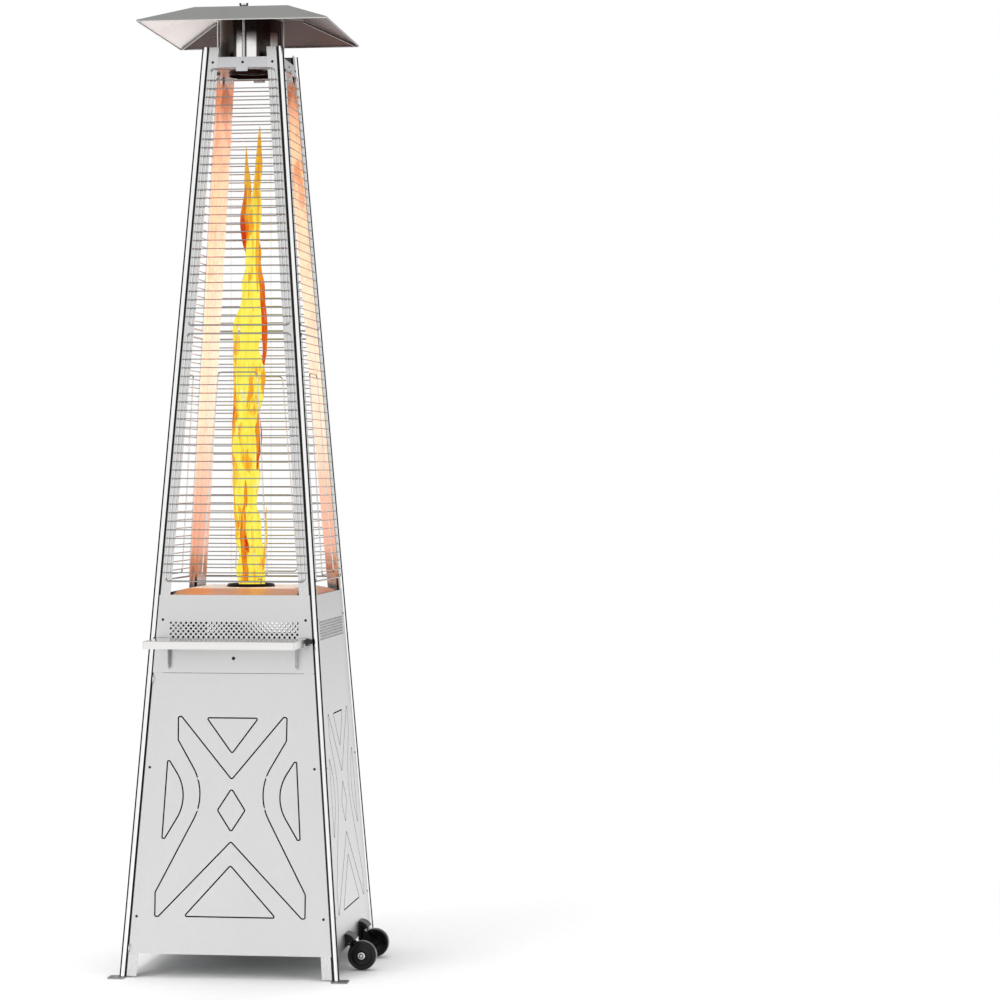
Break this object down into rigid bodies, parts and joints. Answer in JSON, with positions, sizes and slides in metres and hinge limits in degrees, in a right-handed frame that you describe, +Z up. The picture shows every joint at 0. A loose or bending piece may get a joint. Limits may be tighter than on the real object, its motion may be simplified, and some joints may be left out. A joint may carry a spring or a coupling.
{
  "type": "patio heater",
  "caption": "Pyramid-shaped gas patio heater with a glass flame tube behind wire guards, square reflector hood, hinged front door, folding shelf and transport wheels.",
  "frame": {"origin": "on the floor, at the centre of the four feet's anchor holes", "axes": "+Z up; the front, with the shelf and door, faces -Y; the wheels are on the +X side"},
  "size_m": [0.6008, 0.6456, 2.283],
  "materials": {
    "post_steel": "bright stainless, polished bead, satin flanges",
    "foot_steel": "plain stainless plate",
    "panel_steel": "satin silver-grey stainless, pressed lines",
    "bracket_steel": "plain stainless",
    "screw_steel": "bright plated screws",
    "deck_steel": "satin stainless, heat tinted near the burner",
    "burner_steel": "heat-darkened stainless",
    "gauze": "woven stainless gauze, scorched",
    "ceramic": "glazed ceramic sleeve with a steel rod",
    "tube_glass": "clear heat-proof glass",
    "ring_steel": "satin stainless ring",
    "guard_wire": "bright plated wire, welded crossings",
    "top_steel": "satin stainless",
    "chimney_steel": "polished stainless, heat tinted",
    "hood_steel": "satin stainless, heat tinted underside",
    "rod_steel": "plain threaded rod",
    "nut_steel": "dark plated nut",
    "black_plastic": "black moulded plastic",
    "shelf_steel": "satin stainless, folded edges",
    "valve_metal": "die-cast metal, as cast",
    "brass": "machined brass",
    "knob_plastic": "black heat-proof plastic",
    "bezel_metal": "black dial plate",
    "igniter_plastic": "black moulded plastic",
    "button_plastic": "red push button",
    "pipe_metal": "drawn aluminium gas pipe",
    "catch_body": "dark magnet case",
    "galvanised": "galvanised sheet",
    "wheel_plastic": "black solid plastic wheel",
    "axle_steel": "bright plated rod"
  },
  "bodies": {
    "frame": {"post_front_right": "post_steel", "foot_plate_front_right": "foot_steel", "post_back_right": "post_steel", "foot_plate_back_right": "foot_steel", "post_back_left": "post_steel", "foot_plate_back_left": "foot_steel", "post_front_left": "post_steel", "foot_plate_front_left": "foot_steel", "right_panel": "panel_steel", "back_panel": "panel_steel", "left_panel": "panel_steel", "shelf_panel": "panel_steel", "door_hinge_pins": "bracket_steel", "panel_screws": "screw_steel", "burner_deck": "deck_steel", "burner_cup": "burner_steel", "burner_gauze": "gauze", "igniter_electrode": "ceramic", "thermocouple": "ceramic", "glass_tube": "tube_glass", "tube_seat": "ring_steel", "tube_collar": "ring_steel", "guard_lower_front": "guard_wire", "guard_upper_front": "guard_wire", "guard_lower_right": "guard_wire", "guard_upper_right": "guard_wire", "guard_lower_back": "guard_wire", "guard_upper_back": "guard_wire", "guard_lower_left": "guard_wire", "guard_upper_left": "guard_wire", "top_plate": "top_steel", "chimney": "chimney_steel", "hood": "hood_steel", "hood_rods": "rod_steel", "rod_nuts": "nut_steel", "wing_nuts": "black_plastic", "shelf_bracket_left": "bracket_steel", "shelf_bracket_right": "bracket_steel", "shelf_pins": "bracket_steel", "gas_valve": "valve_metal", "control_bezel": "bezel_metal", "igniter_body": "igniter_plastic", "gas_pipe": "pipe_metal", "inlet_fitting": "brass", "tilt_switch": "igniter_plastic", "magnetic_catch": "catch_body", "tank_tray": "galvanised", "wheel_bracket_front": "black_plastic", "wheel_bracket_back": "black_plastic", "wheel_axle": "axle_steel", "hub_caps": "axle_steel"},
    "door": {"front_door": "panel_steel", "door_screws": "screw_steel"},
    "shelf": {"shelf": "shelf_steel", "shelf_hinge_blocks": "black_plastic"},
    "stem": {"valve_stem": "brass"},
    "knob": {"control_knob": "knob_plastic"},
    "igniter_button": {"igniter_button": "button_plastic"},
    "wheel_front": {"wheel_front": "wheel_plastic"},
    "wheel_back": {"wheel_back": "wheel_plastic"}
  },
  "joints": [
    {"name": "shelf_fold", "type": "hinge", "parent": "frame", "child": "shelf", "pos_m": [0, -0.212, 0.779], "axis": [1, 0, 0], "range_deg": [0, 87]},
    {"name": "door_swing", "type": "hinge", "parent": "frame", "child": "door", "pos_m": [-0.21898, -0.23387, 0.3001], "axis": [-0.074, -0.074, -0.9945], "range_deg": [0, 110]},
    {"name": "knob_push", "type": "slide", "parent": "frame", "child": "stem", "axis": [0.9972, 0, -0.0742], "range_m": [0, 0.004], "stiffness_N_per_m": 800},
    {"name": "knob_turn", "type": "hinge", "parent": "stem", "child": "knob", "pos_m": [-0.21432, 0, 0.74611], "axis": [0.9972, 0, -0.0742], "range_deg": [-180, 0]},
    {"name": "igniter_push", "type": "slide", "parent": "frame", "child": "igniter_button", "axis": [0.9972, 0, -0.0742], "range_m": [0, 0.003], "stiffness_N_per_m": 700},
    {"name": "wheel_front_spin", "type": "hinge", "parent": "frame", "child": "wheel_front", "pos_m": [0.2855, -0.092, 0.0355], "axis": [0, 1, 0], "continuous": true},
    {"name": "wheel_back_spin", "type": "hinge", "parent": "frame", "child": "wheel_back", "pos_m": [0.2855, 0.092, 0.0355], "axis": [0, 1, 0], "continuous": true}
  ]
}
